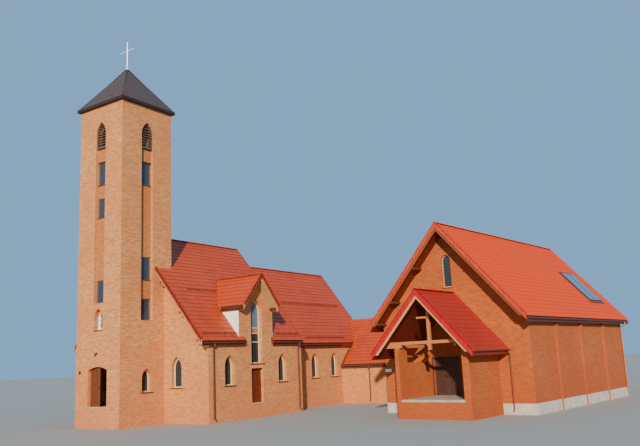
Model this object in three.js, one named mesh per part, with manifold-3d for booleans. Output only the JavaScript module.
// A brick village church: tower, nave with a gabled bay, chancel, link wing and a hall with an entrance porch.
// Units are millimetres. X runs east along the nave's ridge from the tower's west face, Y runs north, Z is up.
// Z = 0 is the lowest ground that the walls meet. The hall stands at a small angle to the church.

import * as THREE from 'three';
import { mergeVertices } from 'three/addons/utils/BufferGeometryUtils.js';
import Module from 'manifold-3d';

// Heights
const THRESHOLD = 1200;
const SIDE_DOOR_SILL = 900;
const HALL_FLOOR = 1000;
const FLOOR_THICKNESS = 150;

// General sizes: the gap between neighbours, and how far a cutting solid runs past what it cuts
const GAP = 0.3;
const PAST = 10;

// Door leaves turn on a pivot near their edge, with room beside it for the corner to swing
const FLOOR_GAP = 10;
const JAMB_GAP = 15;
const MEET_GAP = 10;
const LEAF = 50;
const PIVOT_INSET = 30;
const PIVOT_RADIUS = 14;

const WALL = 400;
const GLASS = 24;
const DEEP = 60000;
const ROOF_REACH = 8000;
const UNDERGROUND = -1000;
// How far a sheet of glass covers the wall around its opening
const LAP = 60;

// A gutter hangs on each eave, outside the slab's end, and boards close the roofs' raking edges
const GUTTER = { width: 130, wall: 8 };
const VERGE_BOARD = 30;
const VERGE_DEPTH = 280;

// Lancet windows of the nave and chancel
const LANCET = { width: 820, sill: THRESHOLD + 840, apex: THRESHOLD + 2600, rise: 640 };

// Tower
const TOWER = 3900;
const TOWER_HALF = TOWER / 2;
const TOWER_WALL = 450;
const TOWER_TOP = THRESHOLD + 18000;
const STRIP = { width: 900, depth: 200 };
const BELFRY = { sill: THRESHOLD + 15320, apex: THRESHOLD + 16980, rise: 780 };
const PANE_TOP = [THRESHOLD + 13020, THRESHOLD + 14440];
const PANE_HIGH = [THRESHOLD + 10990, THRESHOLD + 12190];
const PANE_WEST = [THRESHOLD + 5880, THRESHOLD + 7240];
const PANE_SIDE_UPPER = [THRESHOLD + 7200, THRESHOLD + 8580];
const PANE_SIDE_LOWER = [THRESHOLD + 4800, THRESHOLD + 6080];
const TOWER_LANCET = { width: 700, sill: THRESHOLD + 690, apex: THRESHOLD + 2040, rise: 560 };
const NICHE = { width: 780, sill: THRESHOLD + 4320, apex: THRESHOLD + 5560, rise: 600, depth: 300 };
const MAIN_DOOR = { width: 1700, spring: THRESHOLD + 2040, rise: 200, recess: 200, head: THRESHOLD + 2330 };
const MAIN_DOOR_REST = 80;
const ARCH_DEPTH = 180;
const TOWER_BAND = THRESHOLD + 2700;
const SPIRE_EAVE = 190;
const SPIRE_FASCIA = 140;
const SPIRE_APEX = THRESHOLD + 21070;
const CROSS_TOP = THRESHOLD + 22940;
const CROSS_BAR = { height: THRESHOLD + 22310, length: 1300 };

// Nave
const NAVE = { west: 3300, east: 12170, half: 5560, ridge: THRESHOLD + 10285, eaveHalf: 5825, eave: THRESHOLD + 3325 };
const NAVE_VERGE_WEST = 2640;
const NAVE_VERGE_EAST = 12200;
const ROOF = 220;
const NAVE_LANCETS = [5090, 10110];
const WEST_LANCET = 3000;

// Gabled bay on the south side of the nave
const BAY = { west: 5955, east: 9175, ridge: THRESHOLD + 7500, slope: 1.15, overhang: 190, front: 500 };
const BAY_WINDOW = { centre: 7600, width: 1100, sill: THRESHOLD + 2020, apex: THRESHOLD + 5950, rise: 700 };
const SIDE_DOOR = { width: 1100, head: THRESHOLD + 1750, recess: 190 };
const EAVE_RETURN_WEST = 450;
const EAVE_RETURN_EAST = 150;
const CHEEK = 180;

// Chancel
const CHANCEL = { east: 22650, half: 4170, ridge: THRESHOLD + 9093, eaveHalf: 4443, eave: THRESHOLD + 3184 };
const CHANCEL_VERGE = 22900;
const CHANCEL_LANCETS = [15685, 18180];

// Link wing between the chancel and the hall
const LINK = { west: 19200, ridgeX: 22480, ridge: THRESHOLD + 5180, eaveX: 18960, eave: THRESHOLD + 1562 };

// Hall, in its own frame: x east from its west wall, y north from its ridge
const HALL_TURN = -0.082;
const HALL_AT = [11130, -17040];
const HALL = { length: 15400, half: 4650, ridge: THRESHOLD + 9536, eaveHalf: 5108, eave: THRESHOLD + 3789 };
const HALL_VERGE_WEST = 990;
const HALL_VERGE_EAST = 620;
const HALL_WINDOW = { width: 600, sill: THRESHOLD + 5870, apex: THRESHOLD + 7767, rise: 300, y: 45 };
const HALL_DOOR = { south: -300, north: 1340, head: THRESHOLD + 1884, recess: 150 };
const PILASTERS = [3613, 7480, 11540];
const PILASTER = { width: 380, depth: 110, below: 420 };
const SOLAR = { x0: 12070, x1: 14450, down0: 3050, down1: 5800, thickness: 90 };

// Porch of the hall, in the hall's frame
const PORCH = {
  axis: -300, half: 3060, ridge: THRESHOLD + 5530, eave: THRESHOLD + 2210, verge: 4080,
  front: 3440, north: 1665, south: -2760,
};
const PORCH_PILLAR = { length: 840, thickness: 250 };
const PORCH_WALL = 380;
const PORCH_ROOF = 160;
const PARAPET_TOP = THRESHOLD + 1730;
const RAIL_TOP = THRESHOLD + 2110;
const RAIL = 90;
const TIMBER = 160;
const TIE_BEAM = THRESHOLD + 2680;
const WALL_PLATE = TIE_BEAM - TIMBER;
const PLATE_INWARD = 150;
const KING_POST = -520;
const KING_POST_BELOW = 320;

const wasm = await Module();
wasm.setup();

// Solids

function solid(geometry) {
  const plain = geometry.index ? geometry.toNonIndexed() : geometry.clone();
  plain.deleteAttribute('normal');
  plain.deleteAttribute('uv');
  const merged = mergeVertices(plain, 1e-4);
  const mesh = new wasm.Mesh({
    numProp: 3,
    vertProperties: Float32Array.from(merged.attributes.position.array),
    triVerts: Uint32Array.from(merged.index.array),
  });
  mesh.merge();
  return new wasm.Manifold(mesh);
}

function geometryOf(manifold) {
  const mesh = manifold.getMesh();
  const geometry = new THREE.BufferGeometry();
  geometry.setAttribute('position', new THREE.BufferAttribute(Float32Array.from(mesh.vertProperties), 3));
  geometry.setIndex(new THREE.BufferAttribute(Uint32Array.from(mesh.triVerts), 1));
  geometry.computeVertexNormals();
  return geometry;
}

function block(x0, x1, y0, y1, z0, z1) {
  const box = new THREE.BoxGeometry(x1 - x0, y1 - y0, z1 - z0);
  box.translate((x0 + x1) / 2, (y0 + y1) / 2, (z0 + z1) / 2);
  return solid(box);
}

function extruded(points, depth, basis, shift) {
  const shape = new THREE.Shape(points.map(([u, v]) => new THREE.Vector2(u, v)));
  const geometry = new THREE.ExtrudeGeometry(shape, { depth, bevelEnabled: false, steps: 1 });
  geometry.applyMatrix4(new THREE.Matrix4().makeBasis(...basis.map((axis) => new THREE.Vector3(...axis))));
  geometry.translate(...shift);
  return solid(geometry);
}

// Outline in (y, z), swept along X
function alongX(points, x0, x1) {
  return extruded(points, x1 - x0, [[0, 1, 0], [0, 0, 1], [1, 0, 0]], [x0, 0, 0]);
}

// Outline in (x, z), swept along Y
function alongY(points, y0, y1) {
  return extruded(points, y1 - y0, [[1, 0, 0], [0, 0, 1], [0, -1, 0]], [0, y1, 0]);
}

// Opening with a pointed head: an outline about u = centre, from the sill to the apex
function pointed(centre, { width, sill, apex, rise }, steps = 5) {
  const half = width / 2;
  const spring = apex - rise;
  const offset = (rise * rise - half * half) / width;
  const radius = offset + half;
  const full = Math.asin(rise / radius);
  const points = [[centre - half, sill], [centre + half, sill], [centre + half, spring]];
  for (let i = 1; i <= steps; i += 1) {
    const angle = (full * i) / steps;
    points.push([centre - offset + radius * Math.cos(angle), spring + radius * Math.sin(angle)]);
  }
  for (let i = steps - 1; i >= 0; i -= 1) {
    const angle = (full * i) / steps;
    points.push([centre + offset - radius * Math.cos(angle), spring + radius * Math.sin(angle)]);
  }
  return points;
}

// Opening with a low segmental head
function segmental(centre, width, sill, spring, rise, steps = 8) {
  const half = width / 2;
  const radius = (half * half + rise * rise) / (2 * rise);
  const full = Math.asin(half / radius);
  const points = [[centre - half, sill], [centre + half, sill]];
  for (let i = 0; i <= steps; i += 1) {
    const angle = full - (2 * full * i) / steps;
    points.push([centre + radius * Math.sin(angle), spring + rise - radius + radius * Math.cos(angle)]);
  }
  return points;
}

// Roofs

function slopeOf({ ridge, eave, eaveHalf }) {
  return (ridge - eave) / eaveHalf;
}

function drop(slope, thickness) {
  return thickness * Math.sqrt(1 + slope * slope);
}

// Two slopes that meet at a ridge, as an outline about u = centre
function roofBand(centre, half, ridge, slope, thickness) {
  const down = drop(slope, thickness);
  return [
    [centre - half, ridge - slope * half - down], [centre, ridge - down], [centre + half, ridge - slope * half - down],
    [centre + half, ridge - slope * half], [centre, ridge], [centre - half, ridge - slope * half],
  ];
}

// Everything under a roof, for cutting walls and neighbouring roofs
function underRoof(centre, half, ridge, slope, clearance = 0) {
  const top = ridge + drop(slope, clearance);
  return [
    [centre - half, UNDERGROUND], [centre + half, UNDERGROUND], [centre + half, top - slope * half],
    [centre, top], [centre - half, top - slope * half],
  ];
}

const naveSlope = slopeOf(NAVE);
const chancelSlope = slopeOf(CHANCEL);
const hallSlope = slopeOf(HALL);
const linkSlope = (LINK.ridge - LINK.eave) / (LINK.ridgeX - LINK.eaveX);
const porchSlope = (PORCH.ridge - PORCH.eave) / PORCH.half;

function ceiling(roof, slope, y) {
  return roof.ridge - drop(slope, ROOF) - slope * Math.abs(y);
}

// Slab of a roof whose ridge runs along X, as far out as the backs of its gutters
function ridgedSlab(roof, slope, x0, x1) {
  return alongX(roofBand(0, roof.eaveHalf - GUTTER.width - GAP, roof.ridge, slope, ROOF), x0, x1);
}

// Half-round gutter along X with closed ends, its top at the height of the eave
function gutter(sign, roof, x0, x1) {
  const radius = GUTTER.width / 2;
  const centre = sign * (roof.eaveHalf - radius);
  const bowl = (r) => {
    const points = [];
    for (let i = 0; i <= 8; i += 1) {
      const angle = Math.PI * (1 + i / 8);
      points.push([centre + r * Math.cos(angle), roof.eave + r * Math.sin(angle)]);
    }
    return points;
  };
  const room = bowl(radius - GUTTER.wall);
  room.push([room[8][0], roof.eave + 1], [room[0][0], roof.eave + 1]);
  return alongX(bowl(radius), x0, x1).subtract(alongX(room, x0 + GUTTER.wall, x1 - GUTTER.wall));
}

// Hall frame

function inHall(manifold) {
  return manifold.rotate([0, 0, THREE.MathUtils.radToDeg(HALL_TURN)]).translate([HALL_AT[0], HALL_AT[1], 0]);
}

// Finishes

const FINISH = {
  brick: { color: 0xc98a63, roughness: 0.9, metalness: 0 },
  hallBrick: { color: 0xb8673c, roughness: 0.9, metalness: 0 },
  tile: { color: 0xb5482c, roughness: 0.6, metalness: 0 },
  darkTile: { color: 0x4a3f3f, roughness: 0.6, metalness: 0 },
  render: { color: 0xefe9dc, roughness: 0.9, metalness: 0 },
  glass: { color: 0x8fa6b0, roughness: 0.1, metalness: 0 },
  wood: { color: 0x8a5230, roughness: 0.6, metalness: 0 },
  paleWood: { color: 0xc09468, roughness: 0.7, metalness: 0 },
  gutter: { color: 0x4a2f26, roughness: 0.4, metalness: 0.1 },
  stone: { color: 0xb9b3a6, roughness: 0.9, metalness: 0 },
  steel: { color: 0xd8d8d4, roughness: 0.35, metalness: 0.8 },
  panel: { color: 0x2f4358, roughness: 0.15, metalness: 0.1 },
  statue: { color: 0xe9e6df, roughness: 0.7, metalness: 0 },
};

const group = new THREE.Group();
group.name = 'church';

function add(name, manifold, finish) {
  const mesh = new THREE.Mesh(geometryOf(manifold), new THREE.MeshStandardMaterial(FINISH[finish]));
  mesh.name = name;
  group.add(mesh);
}

// Tower walls

// Recessed strip of windows in a wall that runs along the given axis, cut by openings
function stripCuts(centre, bottom, panes, sweep, face, inward) {
  const recess = pointed(centre, { width: STRIP.width, sill: bottom, apex: BELFRY.apex, rise: BELFRY.rise });
  const outer = face - inward * PAST;
  const back = face + inward * STRIP.depth;
  const inner = face + inward * (TOWER_WALL + PAST);
  const cut = (points, from, to) => sweep(points, Math.min(from, to), Math.max(from, to));
  let cuts = cut(recess, outer, back);
  cuts = cuts.add(cut(pointed(centre, { ...BELFRY, width: STRIP.width }), outer, inner));
  for (const [low, high] of panes) {
    const half = STRIP.width / 2;
    cuts = cuts.add(cut([[centre - half, low], [centre + half, low], [centre + half, high], [centre - half, high]],
      outer, inner));
  }
  return cuts;
}

function towerWest() {
  const side = TOWER_HALF;
  let wall = block(0, TOWER_WALL, -side, side, TOWER_BAND, TOWER_TOP);
  wall = wall.subtract(stripCuts(0, PANE_WEST[0], [PANE_TOP, PANE_HIGH, PANE_WEST], alongX, 0, 1));
  wall = wall.subtract(alongX(pointed(0, NICHE), -PAST, NICHE.depth));
  add('tower_west_wall', wall, 'brick');
  const half = MAIN_DOOR.width / 2;
  const top = TOWER_BAND - GAP;
  const pier = (y0, y1) => block(0, TOWER_WALL, y0, y1, 0, top);
  add('tower_door_pier_north', pier(half, side), 'brick');
  add('tower_door_pier_south', pier(-side, -half), 'brick');
  const span = half - GAP;
  const arch = block(0, ARCH_DEPTH, -span, span, MAIN_DOOR.spring, top);
  const opening = segmental(0, MAIN_DOOR.width, THRESHOLD, MAIN_DOOR.spring, MAIN_DOOR.rise);
  add('tower_door_arch', arch.subtract(alongX(opening, -PAST, ARCH_DEPTH + PAST)), 'brick');
  add('tower_door_lintel', block(ARCH_DEPTH + GAP, TOWER_WALL, -span, span, MAIN_DOOR.head, top), 'brick');
  add('tower_door_sill', block(0, TOWER_WALL, -span, span, 0, THRESHOLD), 'stone');
}

function towerSides() {
  const panes = [PANE_TOP, PANE_SIDE_UPPER, PANE_SIDE_LOWER];
  for (const sign of [1, -1]) {
    const face = sign * TOWER_HALF;
    const inner = sign * (TOWER_HALF - TOWER_WALL);
    const low = Math.min(face, inner);
    const high = Math.max(face, inner);
    let wall = block(TOWER_WALL + GAP, TOWER, low, high, 0, TOWER_TOP);
    wall = wall.subtract(stripCuts(TOWER_HALF, PANE_SIDE_LOWER[0], panes, alongY, face, -sign));
    wall = wall.subtract(alongY(pointed(TOWER_HALF, TOWER_LANCET), low - PAST, high + PAST));
    add(sign > 0 ? 'tower_north_wall' : 'tower_south_wall', wall, 'brick');
  }
}

function towerEast() {
  const side = TOWER_HALF - TOWER_WALL - GAP;
  const x0 = TOWER - TOWER_WALL;
  let wall = block(x0, TOWER, -side, side, TOWER_BAND, TOWER_TOP);
  wall = wall.subtract(stripCuts(0, PANE_HIGH[0], [PANE_TOP, PANE_HIGH], alongX, TOWER, -1));
  add('tower_east_wall', wall, 'brick');
}

// One square sleeve of glass inside the tower closes its windows, with a tongue behind each ground lancet
function towerGlass() {
  const inner = TOWER_HALF - TOWER_WALL - GAP;
  const x0 = TOWER_WALL + GAP;
  const x1 = TOWER - TOWER_WALL - GAP;
  const low = PANE_SIDE_LOWER[0] - LAP;
  const high = BELFRY.apex + LAP;
  let sleeve = block(x0, x1, -inner, inner, low, high);
  sleeve = sleeve.subtract(block(x0 + GLASS, x1 - GLASS, -inner + GLASS, inner - GLASS, low - PAST, high + PAST));
  const half = TOWER_LANCET.width / 2 + LAP;
  for (const sign of [1, -1]) {
    const outer = sign * inner;
    const back = sign * (inner - GLASS);
    sleeve = sleeve.add(block(TOWER_HALF - half, TOWER_HALF + half, Math.min(outer, back), Math.max(outer, back),
      TOWER_LANCET.sill - LAP, low + PAST));
  }
  add('tower_glass', sleeve, 'glass');
}

function spire() {
  const half = TOWER_HALF + SPIRE_EAVE;
  const base = TOWER_TOP + GAP;
  const edge = base + SPIRE_FASCIA;
  const pyramid = (reach, foot, apex) => {
    const cone = new THREE.ConeGeometry(reach * Math.SQRT2, apex - foot, 4, 1);
    cone.rotateX(Math.PI / 2);
    cone.rotateZ(Math.PI / 4);
    cone.translate(TOWER_HALF, 0, (apex + foot) / 2);
    return solid(cone);
  };
  let roof = block(TOWER_HALF - half, TOWER_HALF + half, -half, half, base, edge + 1);
  roof = roof.add(pyramid(half, edge, SPIRE_APEX));
  const inside = TOWER_HALF - TOWER_WALL;
  roof = roof.subtract(pyramid(inside, base - 1, SPIRE_APEX - 900));
  add('tower_roof', roof, 'darkTile');
}

function cross() {
  const foot = SPIRE_APEX - 60;
  const mast = new THREE.CylinderGeometry(28, 38, CROSS_TOP - foot, 10);
  mast.rotateX(Math.PI / 2);
  mast.translate(TOWER_HALF, 0, (CROSS_TOP + foot) / 2);
  const ball = new THREE.SphereGeometry(95, 12, 8);
  ball.translate(TOWER_HALF, 0, SPIRE_APEX + 120);
  const collar = new THREE.CylinderGeometry(60, 110, 120, 10);
  collar.rotateX(Math.PI / 2);
  collar.translate(TOWER_HALF, 0, SPIRE_APEX + 20);
  const bar = block(TOWER_HALF - 26, TOWER_HALF + 26, -CROSS_BAR.length / 2, CROSS_BAR.length / 2,
    CROSS_BAR.height - 30, CROSS_BAR.height + 30);
  let whole = solid(mast).add(solid(ball)).add(solid(collar)).add(bar);
  const half = TOWER_HALF + SPIRE_EAVE;
  const base = TOWER_TOP + GAP + SPIRE_FASCIA;
  const cone = new THREE.ConeGeometry(half * Math.SQRT2, SPIRE_APEX - base, 4, 1);
  cone.rotateX(Math.PI / 2);
  cone.rotateZ(Math.PI / 4);
  cone.translate(TOWER_HALF, 0, (SPIRE_APEX + base) / 2 + GAP);
  whole = whole.subtract(solid(cone));
  add('tower_cross', whole, 'steel');
}

function statue() {
  const foot = NICHE.sill + GAP;
  const profile = [[0, 0], [138, 0], [138, 60], [116, 70], [126, 250], [112, 480], [122, 640], [105, 740], [48, 790],
    [46, 820], [70, 860], [76, 910], [62, 965], [0, 990]];
  const body = new THREE.LatheGeometry(profile.map(([r, h]) => new THREE.Vector2(r, h)), 12);
  body.rotateX(Math.PI / 2);
  body.translate(NICHE.depth / 2, 0, foot);
  add('statue', solid(body), 'statue');
}

// Doors

// A leaf in its own frame: the pivot stands on the floor at the origin and the leaf runs along +X
function doorLeaf(width, height) {
  const pin = new THREE.CylinderGeometry(PIVOT_RADIUS, PIVOT_RADIUS, 60, 12);
  pin.rotateX(Math.PI / 2);
  pin.translate(0, 0, 30 + GAP);
  return block(-PIVOT_INSET, width - PIVOT_INSET, -LEAF / 2, LEAF / 2, FLOOR_GAP, height - FLOOR_GAP).add(solid(pin));
}

function hung(leaf, angle, x, y, floor) {
  return leaf.rotate([0, 0, angle]).translate([x, y, floor]);
}

// The north leaf rests closed and the south leaf rests open, turned into the tower
function mainDoors() {
  const half = MAIN_DOOR.width / 2;
  const x = MAIN_DOOR.recess + LEAF / 2;
  const y = half - JAMB_GAP - PIVOT_INSET;
  const leaf = doorLeaf(half - JAMB_GAP - MEET_GAP / 2, MAIN_DOOR.head - THRESHOLD - 50);
  add('main_door_north', hung(leaf, -90, x, y, THRESHOLD), 'wood');
  add('main_door_south', hung(leaf, 90 - MAIN_DOOR_REST, x, -y, THRESHOLD), 'wood');
}

// Nave walls

// Half of the west gable beside the tower, on the given side
function naveGableHalf(sign) {
  const inner = TOWER_HALF + GAP;
  const points = [
    [sign * NAVE.half, 0], [sign * inner, 0],
    [sign * inner, ceiling(NAVE, naveSlope, inner) - GAP],
    [sign * NAVE.half, ceiling(NAVE, naveSlope, NAVE.half) - GAP],
  ];
  if (sign < 0) points.reverse();
  const wall = alongX(points, NAVE.west, NAVE.west + WALL);
  return wall.subtract(alongX(pointed(sign * WEST_LANCET, LANCET), NAVE.west - PAST, NAVE.west + WALL + PAST));
}

function naveSideWall(x0, x1, sign, lancets) {
  const outer = sign * NAVE.half;
  const inner = sign * (NAVE.half - WALL);
  const low = Math.min(outer, inner);
  const high = Math.max(outer, inner);
  let wall = block(x0, x1, low, high, 0, ceiling(NAVE, naveSlope, NAVE.half) - GAP);
  for (const x of lancets) wall = wall.subtract(alongY(pointed(x, LANCET), low - PAST, high + PAST));
  return wall;
}

function naveWalls() {
  const west = NAVE.west + WALL / 2;
  const east = NAVE.east - WALL - GAP;
  const [first, last] = NAVE_LANCETS;
  add('nave_southwest_walls', naveGableHalf(-1).add(naveSideWall(west, BAY.west - GAP, -1, [first])), 'brick');
  add('nave_southeast_wall', naveSideWall(BAY.east + GAP, east, -1, [last]), 'brick');
  const north = naveSideWall(west, east, 1, [first, (first + last) / 2, last]);
  add('nave_north_walls', naveGableHalf(1).add(north), 'brick');
}

// East wall of the nave above and beside the chancel, which is open to the nave
function naveEastWall() {
  const top = NAVE.ridge - drop(naveSlope, ROOF) - GAP;
  const outline = [
    [-NAVE.half, 0], [NAVE.half, 0], [NAVE.half, top - naveSlope * NAVE.half], [0, top],
    [-NAVE.half, top - naveSlope * NAVE.half],
  ];
  const inside = CHANCEL.half - WALL;
  const ridge = CHANCEL.ridge - drop(chancelSlope, ROOF);
  const opening = underRoof(0, inside, ridge, chancelSlope);
  const wall = alongX(outline, NAVE.east - WALL, NAVE.east).subtract(alongX(opening, NAVE.east - WALL - PAST, DEEP));
  add('nave_east_wall', wall, 'brick');
}

const bayCentre = (BAY.west + BAY.east) / 2;
const bayHalf = (BAY.east - BAY.west) / 2;
const bayEave = bayHalf + BAY.overhang - GUTTER.width;

function bay() {
  const y0 = -NAVE.half;
  const y1 = -NAVE.half + WALL;
  const left = BAY_WINDOW.centre - BAY_WINDOW.width / 2;
  const right = BAY_WINDOW.centre + BAY_WINDOW.width / 2;
  const down = drop(BAY.slope, ROOF);
  const under = (x) => BAY.ridge - down - BAY.slope * Math.abs(x - bayCentre) - GAP;
  add('bay_pier_west', alongY([[BAY.west, 0], [left, 0], [left, under(left)], [BAY.west, under(BAY.west)]], y0, y1),
    'brick');
  add('bay_pier_east', alongY([[right, 0], [BAY.east, 0], [BAY.east, under(BAY.east)], [right, under(right)]], y0, y1),
    'brick');
  const l = left + GAP;
  const r = right - GAP;
  const gable = alongY([[l, SIDE_DOOR.head], [r, SIDE_DOOR.head], [r, under(r)], [bayCentre, under(bayCentre)],
    [l, under(l)]], y0, y1);
  const inset = { ...BAY_WINDOW, width: BAY_WINDOW.width - LAP };
  add('bay_gable', gable.subtract(alongY(pointed(BAY_WINDOW.centre, inset), y0 - PAST, y1 + PAST)), 'brick');
  add('side_door_sill', block(l, r, y0, y1, 0, SIDE_DOOR_SILL), 'stone');
}

// White rendered cheeks between the nave roof and the bay roof
function bayCheeks() {
  const naveAbove = alongX(underRoof(0, ROOF_REACH, NAVE.ridge, naveSlope, GAP), 0, DEEP);
  const under = BAY.ridge - drop(BAY.slope, ROOF) - BAY.slope * bayHalf - GAP;
  const front = -NAVE.half + WALL + GAP;
  for (const [name, x0] of [['bay_cheek_west', BAY.west], ['bay_cheek_east', BAY.east - CHEEK]]) {
    const slab = block(x0, x0 + CHEEK, front, 0, NAVE.eave, under);
    add(name, slab.subtract(naveAbove), 'render');
  }
}

function sideDoor() {
  const x = BAY_WINDOW.centre - SIDE_DOOR.width / 2 + JAMB_GAP + PIVOT_INSET;
  const y = -NAVE.half + SIDE_DOOR.recess + LEAF / 2;
  const leaf = doorLeaf(SIDE_DOOR.width - 2 * JAMB_GAP, SIDE_DOOR.head - SIDE_DOOR_SILL);
  add('side_door', hung(leaf, 0, x, y, SIDE_DOOR_SILL), 'wood');
}

// Nave, bay and chancel roofs

function naveRoof() {
  let roof = ridgedSlab(NAVE, naveSlope, NAVE_VERGE_WEST + VERGE_BOARD, NAVE_VERGE_EAST);
  roof = roof.subtract(block(-PAST, TOWER + GAP, -TOWER_HALF - GAP, TOWER_HALF + GAP, 0, DEEP));
  // The bay cuts the roof: its walls at the eave, and the room behind them up to the bay's own roof
  const wall = block(BAY.west - GAP, BAY.east + GAP, -NAVE.half - GAP, -NAVE.half + WALL + GAP, 0, DEEP);
  const returned = block(BAY.west + EAVE_RETURN_WEST, BAY.east - EAVE_RETURN_EAST, -DEEP, -NAVE.half, 0, DEEP);
  const room = alongY(underRoof(bayCentre, bayHalf - CHEEK, BAY.ridge, BAY.slope, -ROOF), -NAVE.half, 0);
  roof = roof.subtract(wall).subtract(returned).subtract(room);
  add('nave_roof', roof, 'tile');
  add('nave_gutter_north', gutter(1, NAVE, NAVE_VERGE_WEST, NAVE_VERGE_EAST), 'gutter');
}

function bayRoof() {
  const band = roofBand(bayCentre, bayEave, BAY.ridge, BAY.slope, ROOF);
  let roof = alongY(band, -NAVE.half - BAY.front + VERGE_BOARD, 0);
  roof = roof.subtract(alongX(underRoof(0, ROOF_REACH, NAVE.ridge, naveSlope, GAP), 0, DEEP));
  add('bay_roof', roof, 'tile');
}

function gableOutline(half, peak, slope) {
  return [[-half, 0], [half, 0], [half, peak - slope * half], [0, peak], [-half, peak - slope * half]];
}

function chancelWalls() {
  const x0 = NAVE.east + GAP;
  const x1 = CHANCEL.east;
  const top = ceiling(CHANCEL, chancelSlope, CHANCEL.half) - GAP;
  const inner = CHANCEL.half - WALL;
  const peak = CHANCEL.ridge - drop(chancelSlope, ROOF) - GAP;
  let walls = alongX(gableOutline(CHANCEL.half, peak, chancelSlope), x1 - WALL, x1);
  for (const sign of [1, -1]) {
    const low = Math.min(sign * inner, sign * CHANCEL.half);
    const high = Math.max(sign * inner, sign * CHANCEL.half);
    walls = walls.add(block(x0, x1 - WALL / 2, low, high, 0, top));
    for (const x of CHANCEL_LANCETS) walls = walls.subtract(alongY(pointed(x, LANCET), low - PAST, high + PAST));
  }
  add('chancel_walls', walls, 'brick');
}

function chancelRoof() {
  add('chancel_roof', ridgedSlab(CHANCEL, chancelSlope, NAVE.east + GAP, CHANCEL_VERGE - VERGE_BOARD), 'tile');
}

// Glass sheets that stand against the inner faces of the walls

function sheet(name, x0, x1, y0, y1, z0, z1) {
  add(name, block(x0, x1, y0, y1, z0, z1), 'glass');
}

function naveGlass() {
  const low = LANCET.sill - LAP;
  const high = LANCET.apex + LAP;
  const half = LANCET.width / 2 + LAP;
  const face = NAVE.half - WALL - GAP;
  const x = NAVE.west + WALL + GAP;
  // South-west and north-west corners: one folded sheet for the gable's lancet and the side wall's
  for (const sign of [1, -1]) {
    const reach = sign > 0 ? NAVE_LANCETS[1] + half : NAVE_LANCETS[0] + half;
    const side = (a, b) => [Math.min(sign * a, sign * b), Math.max(sign * a, sign * b)];
    const [g0, g1] = side(WEST_LANCET - half, face);
    const [s0, s1] = side(face - GLASS, face);
    const fold = block(x, x + GLASS, g0, g1, low, high).add(block(x, reach, s0, s1, low, high));
    add(sign > 0 ? 'nave_glass_north' : 'nave_glass_southwest', fold, 'glass');
  }
  sheet('nave_glass_southeast', NAVE_LANCETS[1] - half, NAVE_LANCETS[1] + half, -face, -face + GLASS, low, high);
  const bayX = BAY_WINDOW.width / 2 + LAP;
  sheet('bay_glass', BAY_WINDOW.centre - bayX, BAY_WINDOW.centre + bayX, -face, -face + GLASS, BAY_WINDOW.sill - LAP,
    BAY_WINDOW.apex + LAP);
}

function chancelGlass() {
  const low = LANCET.sill - LAP;
  const high = LANCET.apex + LAP;
  const half = LANCET.width / 2 + LAP;
  const face = CHANCEL.half - WALL - GAP;
  const [first, last] = [CHANCEL_LANCETS[0] - half, CHANCEL_LANCETS[1] + half];
  sheet('chancel_glass_south', first, last, -face, -face + GLASS, low, high);
  sheet('chancel_glass_north', first, last, face - GLASS, face, low, high);
}

function churchFloor() {
  const z0 = THRESHOLD - FLOOR_THICKNESS;
  const towerInside = TOWER_HALF - TOWER_WALL - GAP;
  const naveInside = NAVE.half - WALL - GAP;
  const chancelInside = CHANCEL.half - WALL - GAP;
  const east = NAVE.east - WALL - GAP;
  const floor = block(TOWER_WALL + GAP, TOWER + 1000, -towerInside, towerInside, z0, THRESHOLD)
    .add(block(TOWER + GAP, east, -naveInside, naveInside, z0, THRESHOLD))
    .add(block(NAVE.west + WALL + GAP, east, TOWER_HALF + GAP, naveInside, z0, THRESHOLD))
    .add(block(NAVE.west + WALL + GAP, east, -naveInside, -TOWER_HALF - GAP, z0, THRESHOLD))
    .add(block(NAVE.east - 1000, CHANCEL.east - WALL - GAP, -chancelInside, chancelInside, z0, THRESHOLD));
  add('church_floor', floor, 'stone');
}

// Link wing

function hallBlocker(clearance) {
  // The hall's whole volume, under its roof, for cutting what runs up to it
  const half = HALL.half + clearance;
  const walls = block(-clearance, HALL.length + clearance, -half, half, UNDERGROUND, HALL.eave);
  const roof = alongX(underRoof(0, HALL.eaveHalf + clearance, HALL.ridge, hallSlope, clearance),
    -HALL_VERGE_WEST - clearance, HALL.length + HALL_VERGE_EAST + clearance);
  const above = block(-DEEP, DEEP, -DEEP, DEEP, HALL.eave - drop(hallSlope, ROOF) - clearance, DEEP);
  return inHall(walls.add(roof.intersect(above)));
}

function chancelBlocker(clearance) {
  const half = CHANCEL.half + clearance;
  const walls = block(NAVE.east, CHANCEL.east + clearance, -half, half, UNDERGROUND, CHANCEL.eave);
  const roof = alongX(underRoof(0, CHANCEL.eaveHalf + clearance, CHANCEL.ridge, chancelSlope, clearance), NAVE.east,
    CHANCEL_VERGE + clearance);
  const above = block(-DEEP, DEEP, -DEEP, DEEP, CHANCEL.eave - drop(chancelSlope, ROOF) - clearance, DEEP);
  return walls.add(roof.intersect(above));
}

const linkHalf = LINK.ridgeX - LINK.west;
const linkEast = LINK.ridgeX + linkHalf;
// The link's walls and roof run into the hall and the chancel, and are cut where they meet
const linkSouth = -14500;
const linkNorth = -1500;
const LINK_EAST_EAVE_ROOM = 250;

// The largest connected piece of a solid that a cut has split
function largest(manifold) {
  return manifold.decompose().reduce((best, piece) => (piece.volume() > best.volume() ? piece : best));
}

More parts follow.
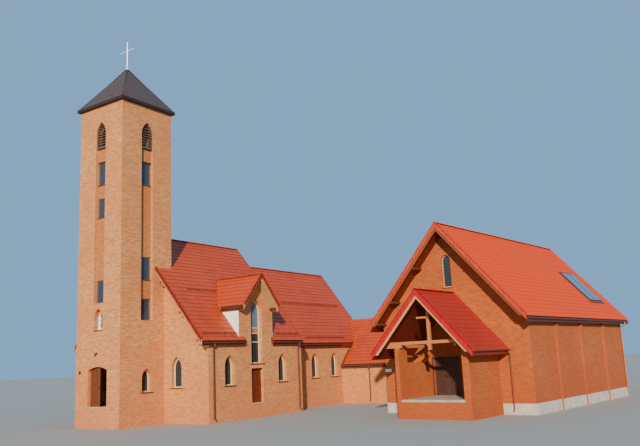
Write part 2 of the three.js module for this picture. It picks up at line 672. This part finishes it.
function link() {
  const peak = LINK.ridge - drop(linkSlope, ROOF) - GAP;
  const top = peak - linkSlope * linkHalf;
  const hall = hallBlocker(2 * GAP);
  const chancel = chancelBlocker(GAP);
  const north = -CHANCEL.half - GAP;
  add('link_west_wall', largest(block(LINK.west, LINK.west + WALL, linkSouth, north, 0, top).subtract(hall)), 'brick');
  const east = largest(block(linkEast - WALL, linkEast, linkSouth, north, 0, top).subtract(hall));
  const x0 = CHANCEL.east + GAP;
  const x1 = linkEast - WALL / 2;
  const gable = [[x0, 0], [x1, 0], [x1, peak - linkSlope * (x1 - LINK.ridgeX)],
    [x0, peak - linkSlope * (x0 - LINK.ridgeX)]];
  add('link_east_walls', alongY(gable, north - WALL, north).subtract(chancel).add(east), 'brick');
  const band = roofBand(LINK.ridgeX, LINK.ridgeX - LINK.eaveX - GUTTER.width, LINK.ridge, linkSlope, ROOF);
  const beside = block(CHANCEL_VERGE + GAP, DEEP, -CHANCEL.half + LINK_EAST_EAVE_ROOM, DEEP, 0, DEEP);
  const roof = alongY(band, linkSouth, linkNorth).subtract(hall).subtract(chancel).subtract(beside);
  add('link_roof', largest(roof), 'tile');
}

// Hall

function hallWestWall() {
  const peak = HALL.ridge - drop(hallSlope, ROOF) - GAP;
  const under = (y) => peak - hallSlope * Math.abs(y);
  const half = HALL.half;
  const { south, north, head } = HALL_DOOR;
  const pier = (y0, y1) => alongX([[y0, 0], [y1, 0], [y1, head], [y0, head]], 0, WALL);
  add('hall_west_pier_south', inHall(pier(-half, south)), 'hallBrick');
  add('hall_west_pier_north', inHall(pier(north, half)), 'hallBrick');
  const outline = [[-half, head + GAP], [half, head + GAP], [half, under(half)], [0, peak], [-half, under(half)]];
  let gable = alongX(outline, 0, WALL);
  gable = gable.subtract(alongX(pointed(HALL_WINDOW.y, HALL_WINDOW), -PAST, WALL + PAST));
  add('hall_west_gable', inHall(gable), 'hallBrick');
  add('hall_door_sill', inHall(block(0, WALL, south + GAP, north - GAP, 0, HALL_FLOOR)), 'stone');
  const glassHalf = HALL_WINDOW.width / 2 + LAP;
  const glass = block(WALL + GAP, WALL + GAP + GLASS, HALL_WINDOW.y - glassHalf, HALL_WINDOW.y + glassHalf,
    HALL_WINDOW.sill - LAP, HALL_WINDOW.apex + LAP);
  add('hall_glass', inHall(glass), 'glass');
}

function hallWalls() {
  const top = ceiling(HALL, hallSlope, HALL.half) - GAP;
  const inner = HALL.half - WALL;
  const x0 = WALL + GAP;
  const x1 = HALL.length - WALL / 2;
  const peak = HALL.ridge - drop(hallSlope, ROOF) - GAP;
  let walls = alongX(gableOutline(HALL.half, peak, hallSlope), HALL.length - WALL, HALL.length);
  walls = walls.add(block(x0, x1, -HALL.half, -inner, 0, top)).add(block(x0, x1, inner, HALL.half, 0, top));
  for (const x of PILASTERS) {
    walls = walls.add(block(x - PILASTER.width / 2, x + PILASTER.width / 2, -HALL.half - PILASTER.depth, -inner - PAST, 0,
      top - PILASTER.below));
  }
  add('hall_walls', inHall(walls), 'hallBrick');
  const inside = inner - GAP;
  const floor = block(x0, HALL.length - WALL - GAP, -inside, inside, HALL_FLOOR - FLOOR_THICKNESS, HALL_FLOOR);
  add('hall_floor', inHall(floor), 'stone');
}

function hallRoof() {
  const west = -HALL_VERGE_WEST;
  const east = HALL.length + HALL_VERGE_EAST;
  add('hall_roof', inHall(ridgedSlab(HALL, hallSlope, west + VERGE_BOARD, east - VERGE_BOARD)), 'tile');
  add('hall_gutter_south', inHall(gutter(-1, HALL, west, east)), 'gutter');
  const board = roofBand(0, HALL.eaveHalf - GUTTER.width - GAP, HALL.ridge, hallSlope, VERGE_DEPTH);
  add('hall_verge_east', inHall(alongX(board, east - VERGE_BOARD + GAP, east)), 'wood');
}

function hallDoors() {
  const { south, north, head, recess } = HALL_DOOR;
  const x = recess + LEAF / 2;
  const inset = JAMB_GAP + PIVOT_INSET;
  const leaf = doorLeaf((north - south) / 2 - JAMB_GAP - MEET_GAP / 2, head - HALL_FLOOR);
  add('hall_door_south', inHall(hung(leaf, 90, x, south + inset, HALL_FLOOR)), 'wood');
  add('hall_door_north', inHall(hung(leaf, -90, x, north - inset, HALL_FLOOR)), 'wood');
}

function solarPanel() {
  const run = Math.hypot(1, hallSlope);
  const at = (down, lift) => {
    const y = -down / run - (lift * hallSlope) / run;
    const z = HALL.ridge - (down * hallSlope) / run + lift / run;
    return [y, z];
  };
  const points = [at(SOLAR.down0, GAP), at(SOLAR.down0, SOLAR.thickness), at(SOLAR.down1, SOLAR.thickness),
    at(SOLAR.down1, GAP)];
  add('solar_panel', inHall(alongX(points, SOLAR.x0, SOLAR.x1)), 'panel');
}

// Porch

function porch() {
  const front = -PORCH.front;
  const down = drop(porchSlope, PORCH_ROOF);
  const under = (y) => PORCH.ridge - down - porchSlope * Math.abs(y - PORCH.axis) - GAP;
  const band = roofBand(PORCH.axis, PORCH.half, PORCH.ridge, porchSlope, PORCH_ROOF);
  add('porch_roof', inHall(alongX(band, -PORCH.verge + VERGE_BOARD, -GAP)), 'tile');

  const s0 = PORCH.south;
  const s1 = PORCH.south + PORCH_WALL;
  const south = alongX([[s0, 0], [s1, 0], [s1, under(s0)], [s0, under(s0)]], front, -GAP);
  add('porch_south_wall', inHall(south), 'hallBrick');

  const n1 = PORCH.north;
  const n0 = n1 - PORCH_PILLAR.thickness;
  const pillar = block(front, front + PORCH_PILLAR.length, n0, n1, 0, WALL_PLATE - GAP);
  const parapet = block(front + PORCH_PILLAR.length - PAST, -GAP, n0, n1, 0, PARAPET_TOP);
  const railY = (n0 + n1) / 2;
  const rail = block(front + PORCH_PILLAR.length - PAST, -GAP, railY - RAIL / 2, railY + RAIL / 2,
    RAIL_TOP - RAIL, RAIL_TOP);
  add('porch_north_wall', inHall(pillar.add(parapet).add(rail)), 'hallBrick');

  // Timbers that end under the north slope: the tie beam, and beneath it a plate on the pillar's head
  const eaveEnd = (z) => PORCH.axis + (PORCH.ridge - down - GAP - z) / porchSlope;
  const beam = (y, z) => [[y, z], [eaveEnd(z), z], [eaveEnd(z + TIMBER), z + TIMBER], [y, z + TIMBER]];
  const x0 = front + 40;
  const x1 = x0 + TIMBER;
  const post = KING_POST - TIMBER / 2;
  const truss = alongX(beam(s1 + GAP, TIE_BEAM), x0, x1)
    .add(alongX(beam(n0 - PLATE_INWARD, WALL_PLATE), x0, x1))
    .add(block(x0, -GAP, n0, n1, WALL_PLATE, TIE_BEAM))
    .add(block(x0, x1, post, post + TIMBER, TIE_BEAM - KING_POST_BELOW, under(post)));
  add('porch_truss', inHall(truss), 'paleWood');
  const floor = block(front, -GAP, s1 + GAP, n0 - GAP, 0, HALL_FLOOR);
  add('porch_floor', inHall(floor), 'stone');
}

towerWest();
towerSides();
towerEast();
towerGlass();
spire();
cross();
statue();
mainDoors();
naveWalls();
naveEastWall();
bay();
bayCheeks();
sideDoor();
naveRoof();
bayRoof();
chancelWalls();
chancelRoof();
naveGlass();
chancelGlass();
churchFloor();
link();
hallWestWall();
hallWalls();
hallRoof();
hallDoors();
solarPanel();
porch();

// The origin is at the middle of the plan, on the ground
const middle = new THREE.Box3().setFromObject(group).getCenter(new THREE.Vector3());
group.position.set(-middle.x, -middle.y, 0);

export default group;
